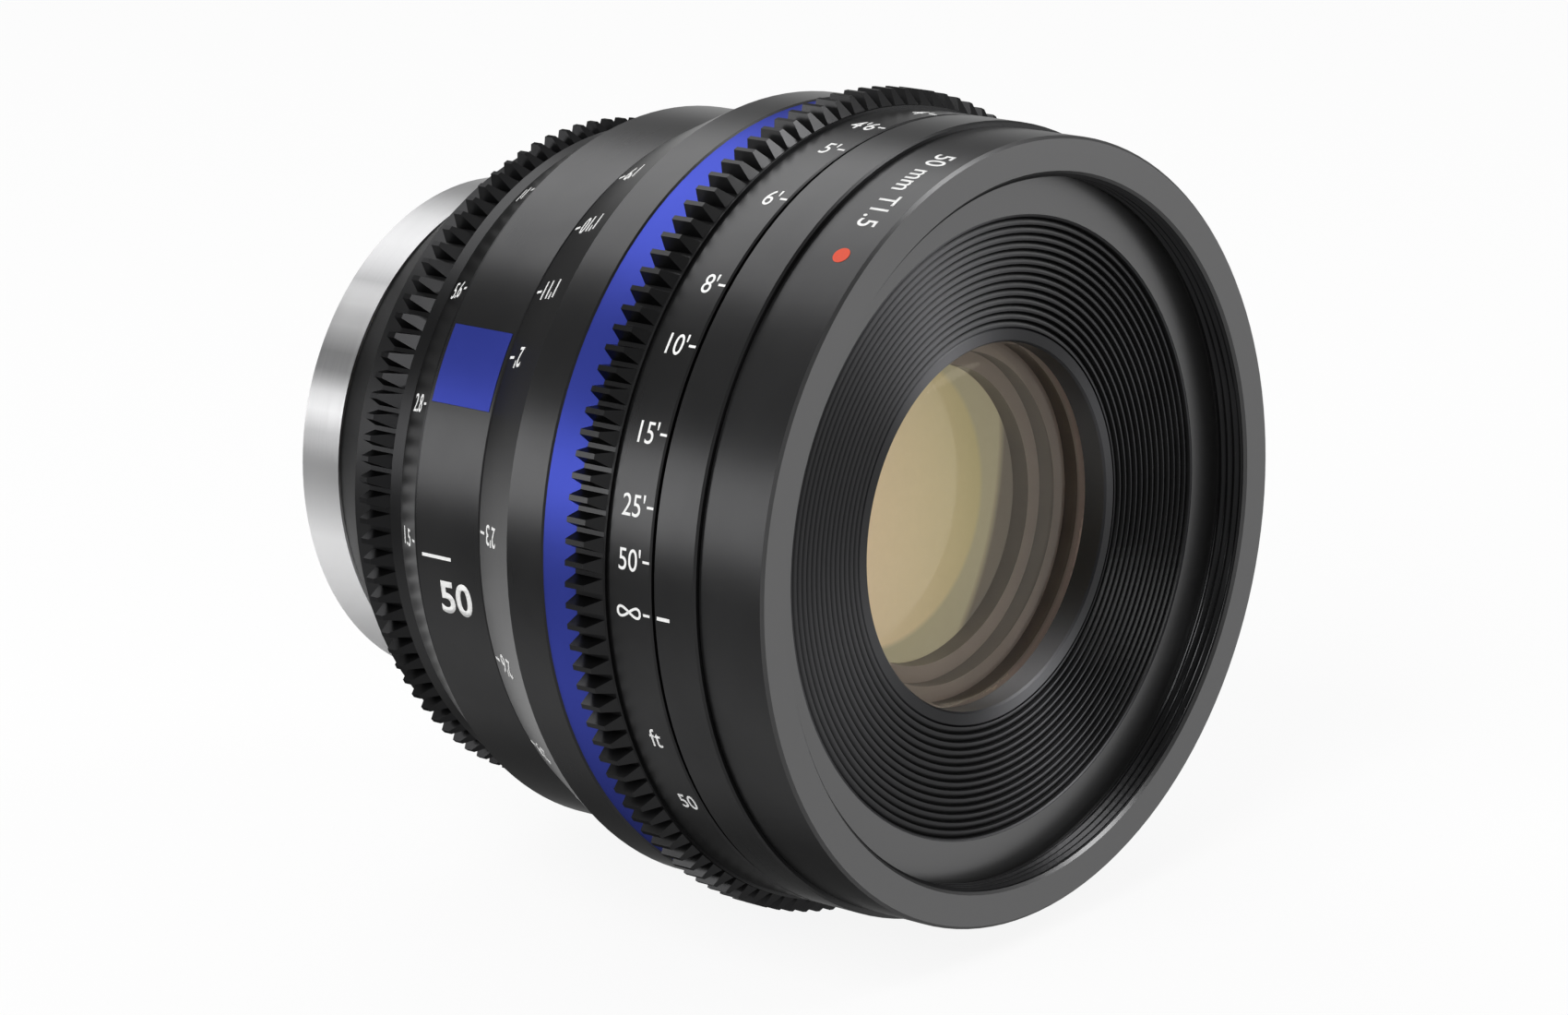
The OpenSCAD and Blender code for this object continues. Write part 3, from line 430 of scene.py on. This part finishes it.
looks = {
    "black_anodised": turned("black_anodised", grey(0.052), grey(0.066), 0.28, metallic=0.95, edge=0.9),
    "gear_black": turned("gear_black", grey(0.042), grey(0.055), 0.28, metallic=0.95, edge=0.5),
    # Front black: its last colour is painted on surfaces facing forwards, as painted light
    "front_black": turned("front_black", grey(0.054), grey(0.066), 0.30, metallic=0.92, edge=0.8,
                          face=grey(0.165)),
    "blue_anodised": turned("blue_anodised", (0.048, 0.069, 0.41), (0.058, 0.080, 0.47), 0.38, metallic=0.85,
                            edge=0.5),
    # Bright steel: two tones for the painted reflection bands, and a near white for the painted highlights
    # and the painted light underneath
    "bright_steel": brushed("bright_steel", grey(0.34, 0.005), grey(0.46, 0.005), grey(0.95, 0.005), 0.32),
    "dark_screw": turned("dark_screw", grey(0.10, 0.005), grey(0.16, 0.005), 0.35, metallic=1.0),
    "brass": turned("brass", (0.62, 0.45, 0.21), (0.72, 0.54, 0.27), 0.3, metallic=1.0),
    "gold_contact": turned("gold_contact", (0.78, 0.58, 0.24), (0.86, 0.66, 0.30), 0.22, metallic=1.0),
    "matte_black": turned("matte_black", grey(0.012, 0.0015), grey(0.018, 0.002), 0.4, specular=0.4),
    # Cell walls: dark risers, with paler colours painted on the forward treads and the seat as painted light
    "cell_black": stepped("cell_black", (0.085, 0.070, 0.066), (0.440, 0.375, 0.345), (0.55, 0.45, 0.42),
                          0.4),
    "raw_aluminium": turned("raw_aluminium", grey(0.55, 0.02), grey(0.65, 0.02), 0.3, metallic=1.0),
    "blade_steel": turned("blade_steel", grey(0.035, 0.003), grey(0.055, 0.005), 0.38, metallic=0.6),
    "black_plastic": moulded("black_plastic", grey(0.018, 0.0), grey(0.030, 0.0), 0.5),
    "coated_glass": glass("coated_glass", (0.99, 0.96, 0.90), (0.95, 0.80, 0.50), 0.05),
}

# Nodes that look different from the rest of their slot
own_looks = {
    # Second element: the view into the lens painted on, with a painted glow
    "second_element": glowing_painted_glass("glowing_painted_glass"),
    # Retaining ring: fans of light painted into its colour
    "front_retaining_ring": turned("ring_black", grey(0.008), grey(0.011, 0.002), 0.34, specular=0.25,
                                   sheen=grey(0.19, 0.01)),
    # Ribbed baffle: crests painted paler, with fans of light painted on them
    "ribbed_baffle": ridged("ribbed_black", grey(0.004, 0.0), grey(0.008, 0.002), grey(0.19, 0.01), 0.34),
    "rear_barrel": turned("rear_black", grey(0.040), grey(0.050), 0.36, metallic=0.92, edge=0.4),
    "iris_ring": turned("iris_black", grey(0.033), grey(0.042), 0.30, metallic=0.95, edge=0.8),
    # Iris gear: a darker copy of the gear black, painted darker as painted shade, to hold down the light its
    # teeth catch
    "iris_gear": turned("iris_gear_black", grey(0.030), grey(0.040), 0.32, metallic=0.95, edge=0.4),
}
# Filter thread: a darker copy of the front black, painted darker as painted shade, to hold down the light its
# ridges catch
thread_black = turned("thread_black", grey(0.030), grey(0.038), 0.30, metallic=0.92, edge=0.6)
white_paint = painted("white_paint", (0.88, 0.88, 0.87), (0.94, 0.94, 0.93), 0.55)
red_paint = painted("red_paint", (0.60, 0.050, 0.014), (0.68, 0.064, 0.020), 0.55)

for part in frame["record"]["subparts"]:
    mesh = nodes[part["node"]].data
    mesh.materials.clear()
    mesh.materials.append(own_looks.get(part["node"], looks[part["material_slot"]]))


def even_glass(node):
    """Even normals on an element whose mesh has slivers at its poles, and a hair of air round it."""
    merge_within, air_gap = 1e-6, 0.02
    weld = nodes[node].modifiers.new("weld", "WELD")
    weld.merge_threshold = merge_within
    air = nodes[node].modifiers.new("air", "DISPLACE")
    air.mid_level, air.strength = 0.0, -air_gap * MM
    even = nodes[node].modifiers.new("even", "WEIGHTED_NORMAL")
    even.keep_sharp = False


even_glass("front_element")
even_glass("second_element")


# Marks on the rings: engraved numbers, ticks and lines, filled with paint

class Marks:
    """One mesh of flat shapes laid on a turned surface: sunk a little, and raised by a paint film."""

    film, sunk = 0.035, 0.02
    # Flat shapes are cut into strips of this width, so that they follow the curve
    strip = 0.5

    def __init__(self, name, body, material):
        self.name, self.body, self.material = name, body, material
        self.mesh = bmesh.new()

    def lay(self, flat, to_surface, round_along=1):
        """Adds a flat bmesh in millimetres, bent round the ring along its x (0) or y (1) direction."""
        low = min(v.co[round_along] for v in flat.verts)
        high = max(v.co[round_along] for v in flat.verts)
        normal = Vector((1, 0, 0)) if round_along == 0 else Vector((0, 1, 0))
        for i in range(1, int((high - low) / self.strip) + 1):
            geometry = flat.verts[:] + flat.edges[:] + flat.faces[:]
            at = normal * (low + i * self.strip)
            bmesh.ops.bisect_plane(flat, geom=geometry, plane_co=at, plane_no=normal)
        for v in flat.verts:
            v.co.z = -self.sunk
        raised = bmesh.ops.extrude_face_region(flat, geom=flat.faces[:])
        for v in raised["geom"]:
            if isinstance(v, bmesh.types.BMVert):
                v.co.z = self.film
        bmesh.ops.recalc_face_normals(flat, faces=flat.faces[:])
        for v in flat.verts:
            v.co = to_surface(*v.co)
        bmesh.ops.recalc_face_normals(flat, faces=flat.faces[:])
        done = bpy.data.meshes.new("flat")
        flat.to_mesh(done)
        flat.free()
        self.mesh.from_mesh(done)
        bpy.data.meshes.remove(done)

    def finish(self):
        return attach(piece(self.name, self.mesh, self.material), self.body)


def bar(length, width):
    m = bmesh.new()
    x, y = length / 2, width / 2
    m.faces.new([m.verts.new((*corner, 0)) for corner in ((-x, -y), (x, -y), (x, y), (-x, y))])
    return m


def disc(radius, sides=24):
    m = bmesh.new()
    turns = [2 * math.pi * i / sides for i in range(sides)]
    m.faces.new([m.verts.new((radius * math.cos(a), radius * math.sin(a), 0)) for a in turns])
    return m


def word(text, height, weight=0.0, gap=1.0, narrow=0.82):
    """Flat outline of a word in millimetres, height tall, centred on the origin."""
    curve = bpy.data.curves.new("word", "FONT")
    curve.body = text
    curve.size = 1.0
    curve.offset = weight
    curve.space_character = gap
    curve.resolution_u = 6
    ob = bpy.data.objects.new("word", curve)
    scene.collection.objects.link(ob)
    shown = bpy.data.meshes.new_from_object(ob.evaluated_get(bpy.context.evaluated_depsgraph_get()))
    bpy.data.objects.remove(ob)
    bpy.data.curves.remove(curve)
    m = bmesh.new()
    m.from_mesh(shown)
    bpy.data.meshes.remove(shown)
    bmesh.ops.remove_doubles(m, verts=m.verts[:], dist=1e-5)
    xs, ys = [v.co.x for v in m.verts], [v.co.y for v in m.verts]
    middle_x, middle_y = (max(xs) + min(xs)) / 2, (max(ys) + min(ys)) / 2
    k = height / (max(ys) - min(ys))
    for v in m.verts:
        v.co = Vector(((v.co.x - middle_x) * k * narrow, (v.co.y - middle_y) * k, 0))
    return m


def infinity(height=1.45, stroke=0.3, sides=48):
    """The sign for infinity, drawn as a band along a figure of eight."""
    m = bmesh.new()
    half_length, half_height, pairs = 1.18 * height, height / 2 - stroke / 2, []
    for i in range(sides):
        t = 2 * math.pi * i / sides
        x, y = half_length * math.sin(t), half_height * math.sin(2 * t)
        dx, dy = half_length * math.cos(t), 2 * half_height * math.cos(2 * t)
        k = stroke / 2 / math.hypot(dx, dy)
        pairs.append([m.verts.new((x - s * dy * k, y + s * dx * k, 0)) for s in (-1, 1)])
    for a, b in zip(pairs, pairs[1:] + pairs[:1]):
        m.faces.new((a[0], b[0], b[1], a[1]))
    return m


def width_of(m):
    return max(v.co.x for v in m.verts) - min(v.co.x for v in m.verts)


def along_axis(angle, r, z):
    """Reading runs forwards, tops towards the top of the lens."""
    return lambda u, v, w: place(angle - math.degrees(v / r), r + w, z + u)


def along_cone(angle, cone, share, turn=1):
    """Reading runs forwards up a cone with tops towards the top of the lens, or turned round (-1)."""
    (r0, z0), (r1, z1) = cone
    slope = math.hypot(r1 - r0, z1 - z0)
    dr, dz = (r1 - r0) / slope, (z1 - z0) / slope

    def point(u, v, w):
        d = share * slope + turn * u
        r, z = r0 + d * dr + w * dz, z0 + d * dz - w * dr
        return place(angle - turn * math.degrees(v / r), r, z)
    return point


def round_axis(angle, r, z):
    """Reading runs round the ring, tops towards the front."""
    return lambda u, v, w: place(angle + math.degrees(u / r), r + w, z + v)


def distance_angle(feet, endless):
    """Angle of a distance mark on the focus ring, whose mark for infinity lies at the angle endless."""
    return endless - 370.0 / feet * (1.0 + 0.196 / feet)


def focus_marks():
    """Distances in feet on the scale ring, and again on the cone, read from the other side."""
    marks = Marks("focus_scale_marks", "focus", white_paint)
    endless, far_endless = 90.0, 265.1
    tick_to = SCALE_FRONT - 0.2
    tick_from = tick_to - 1.0

    def on_scale(angle, shape):
        marks.lay(shape, along_axis(angle, SCALE_R, tick_from - 0.35 - width_of(shape) / 2))
        marks.lay(bar(tick_to - tick_from, 0.3), along_axis(angle, SCALE_R, (tick_from + tick_to) / 2))

    def on_cone(angle, shape, share):
        cone_length = 8.55
        marks.lay(shape, along_cone(angle, FOCUS_CONE, share + width_of(shape) / 2 / cone_length, -1))
        marks.lay(bar(1.1, 0.32), along_cone(angle, FOCUS_CONE, 0.11))

    whole = (50, 25, 15, 10, 8, 6, 5)
    near = ((4.5, "4'6"), (4, "4'"), (3.5, "3'6"), (3, "3'"), (2.75, "2'9"), (2.5, "2'6"), (2.25, "2'3"),
            (2, "2'"), (1.75, "1'9"))
    for feet, text in (*((feet, f"{feet}'") for feet in whole), *near):
        on_scale(distance_angle(feet, endless), word(text, 2.7))
    on_scale(endless, infinity())
    marks.lay(word("ft", 2.5), along_axis(109.3, SCALE_R, SCALE_FRONT - 2.9))
    marks.lay(word("50", 2.3), along_axis(121.0, SCALE_R, SCALE_FRONT - 2.2))

    seen = ((23.4, "1'9"), (35.1, "1'10"), (47.0, "1'11"), (57.8, "2'"), (84.3, "2'3"), (104.6, "2'6"),
            (121.0, "2'9"))
    unseen = ((distance_angle(feet, far_endless), f"{feet}'") for feet in (3, 4, 5, 6, 8, 10, 15, 25, 50))
    for angle, text in (*seen, *unseen):
        on_cone(angle, word(text, 2.6, narrow=0.72), 0.25)
    on_cone(far_endless, infinity(), 0.28)
    marks.finish()


def iris_marks():
    """Stops on the iris cone."""
    marks = Marks("iris_scale_marks", "iris", white_paint)
    for angle, text in ((88.8, "1.5"), (67.0, "2.8"), (47.6, "5.6"), (27.0, "11"), (6.5, "22")):
        marks.lay(word(text, 2.2, narrow=0.72), along_cone(angle, IRIS_CONE, 0.45))
        marks.lay(bar(0.7, 0.28), along_cone(angle, IRIS_CONE, 0.88))
    marks.finish()


def barrel_marks():
    """Index lines, the focal length and the plain lettering on the front ring, with a red dot after it."""
    index_width, lettering_at = 0.42, RIM - 4.075
    marks = Marks("barrel_marks", "barrel", white_paint)
    marks.lay(bar(4.75, index_width), along_axis(90.0, BARREL_R, BARREL_REAR + 3.5))
    marks.lay(bar(1.95, index_width), along_axis(90.0, SCALE_R, INDEX_REAR + 1.5))
    marks.lay(bar(1.2, index_width), along_axis(270.0, BARREL_R, BARREL_REAR + 10.0))
    marks.lay(word("50", 4.2, 0.022, narrow=0.95), along_axis(96.3, BARREL_R, BARREL_REAR + 6.1))
    marks.lay(word("50 mm T1.5", 2.8, 0.006, 1.05), round_axis(18.4, FRONT_R, lettering_at), 0)
    marks.finish()
    dot = Marks("front_red_mark", "barrel", red_paint)
    dot.lay(disc(1.1), round_axis(34.0, FRONT_R, lettering_at), 0)
    dot.finish()


focus_marks()
iris_marks()
barrel_marks()


# Filter thread: a helical ridge inside the front rim

def filter_thread():
    pitch, depth, fade_over = 1.0, 0.42, 0.3
    start, end = RIM - 4.15, RIM - 0.45
    root, back = FILTER_R - 0.01, FILTER_R - 0.002
    sides, rows = 180, 44
    turns = [360.0 * i / sides for i in range(sides)]
    m = bmesh.new()

    def ridge(turn, z):
        """Radius on the ridge, which winds round the bore and fades out at both ends."""
        fade = min(1.0, (z - start) / fade_over, (end - z) / fade_over)
        crest = 1.0 - abs(2.0 * ((z / pitch + turn / 360.0) % 1.0) - 1.0)
        return root - depth * fade * min(1.0, 1.25 * crest)

    stations = [start + (end - start) * j / rows for j in range(rows + 1)]
    grid = [[m.verts.new(place(turn, ridge(turn, z), z)) for turn in turns] for z in stations]
    grid += [[m.verts.new(place(turn, back, z)) for turn in turns] for z in (end, start)]
    for a, b in zip(grid, grid[1:] + grid[:1]):
        for i in range(sides):
            k = (i + 1) % sides
            m.faces.new((a[i], a[k], b[k], b[i]))
    bmesh.ops.recalc_face_normals(m, faces=m.faces[:])
    ob = piece("filter_thread", m, thread_black)
    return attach(ob, "barrel")


filter_thread()


# Studio: pale floor, white surroundings, soft boxes

def floor():
    """Pale floor that keeps the shadow, nearly white to the camera and unseen by reflections."""
    half, below, glow = 4.0, 0.5, 0.9
    s = Shader("floor")
    seen = s.node("ShaderNodeLightPath").outputs["Is Camera Ray"]
    grain = s.blend(s.noise(s.at, 30.0, 3.0), grey(0.56, 0.0), grey(0.60, 0.0))
    s.set(Base_Color=s.blend(seen, grain, grey(0.95, 0.0)), Roughness=0.8, Specular_IOR_Level=0.1)
    white = s.node("ShaderNodeEmission")
    s.mix(s.times(seen, glow), s.bsdf.outputs[0], white.outputs[0], "Material Output")
    m = bmesh.new()
    z = cad_box[0].z - below * MM
    m.faces.new([m.verts.new((x * half, y * half, z)) for x, y in ((-1, -1), (1, -1), (1, 1), (-1, 1))])
    ob = piece("floor", m, s.material)
    ob.visible_glossy = False


def reflected(g):
    """Brightness that reflections see: dark cards behind the lens and above its front, a bright table."""
    x, y, z = g.split(g.node("ShaderNodeTexCoord").outputs["Generated"])
    front, below = g.times(y, -1.0), g.times(z, -1.0)

    def patch(towards, outer_edge, inner_edge):
        """Soft round patch in a direction, whose edges are given as cosines."""
        along = g.add(*(g.times(axis, part) for axis, part in zip((x, y, z), towards)))
        return g.ease(along, outer_edge, inner_edge)

    behind = g.ease(y, 0.2, 0.45)
    table_height = g.times(g.ease(below, -0.05, 0.15), g.ease(below, 0.42, 0.75, 1.0, 0.0))
    table_width = g.times(g.ease(x, -0.6, -0.3), g.ease(x, 0.2, 0.55, 1.0, 0.0))
    table = g.times(table_height, table_width, g.ease(y, 0.5, 0.85), 0.85)
    high = g.times(g.ease(y, 0.75, 0.92, 0.10, 0.04), g.ease(below, 0.0, 0.2, 1.0, 0.0))
    shade = g.times(g.ease(x, -0.2, 0.1), g.ease(below, 0.45, 0.6), 0.8)
    low = g.times(g.ease(below, 0.0, 0.55, 0.12, 0.42), g.rest(shade))
    side = g.times(patch((0.64, 0.77, -0.03), 0.94, 0.99), 0.5)
    rear_half = g.add(high, low, table, side)

    above = g.times(g.ease(front, 0.35, 0.6), g.ease(z, 0.2, 0.45), 0.26)
    window = g.times(patch((0.73, -0.64, -0.23), 0.75, 0.95), 0.35)
    front_half = g.add(g.math("SUBTRACT", 0.38, above), window)
    return g.add(g.times(rear_half, behind), g.times(front_half, g.rest(behind)))


def surroundings():
    """World: soft grey light, white to the camera and through glass, the studio's cards in reflections."""
    world = bpy.data.worlds.new("studio")
    world.use_nodes = True
    scene.world = world
    g = Graph(world.node_tree)
    grey_light = g.tree.nodes["Background"]
    white = g.node("ShaderNodeBackground")
    for background in (grey_light, white):
        g.put(background, "Color", (1.0, 1.0, 1.0, 1.0))
    g.put(grey_light, "Strength", 0.25)
    ray = g.node("ShaderNodeLightPath").outputs
    glossy = ray["Is Glossy Ray"]
    g.put(white, "Strength", g.add(g.times(reflected(g), glossy), g.rest(glossy)))
    shown = g.math("MAXIMUM", g.math("MAXIMUM", ray["Is Camera Ray"], glossy), ray["Is Transmission Ray"])
    g.mix(shown, grey_light.outputs[0], white.outputs[0], "World Output")


def soft_box(name, towards, size, power):
    """Rectangular lamp in a direction, facing the middle of the lens."""
    middle, distance = Vector((0.0, -0.045, 0.0)), 1.0
    data = bpy.data.lights.new(name, "AREA")
    data.shape = "RECTANGLE"
    data.size, data.size_y = size
    data.energy = power
    ob = bpy.data.objects.new(name, data)
    direction = towards.normalized()
    ob.location = middle + direction * distance
    ob.rotation_mode = "QUATERNION"
    ob.rotation_quaternion = direction.to_track_quat("Z", "Y")
    scene.collection.objects.link(ob)


floor()
surroundings()
soft_box("key", -0.45 * cam_right + 0.5 * cam_up - 0.9 * cam_forward, (0.6, 0.6), 7.0)
soft_box("fill", Vector((0.75, -0.66, 0.15)), (0.5, 0.4), 1.2)
soft_box("top", Vector((0.45, -0.55, 0.70)), (0.3, 0.3), 2.0)
soft_box("edge", Vector((-0.751, 0.64, 0.16)), (0.25, 0.36), 0.9)
soft_box("back", Vector((0.21, 0.64, 0.74)), (0.9, 0.4), 2.7)

scene.view_settings.view_transform = "Standard"
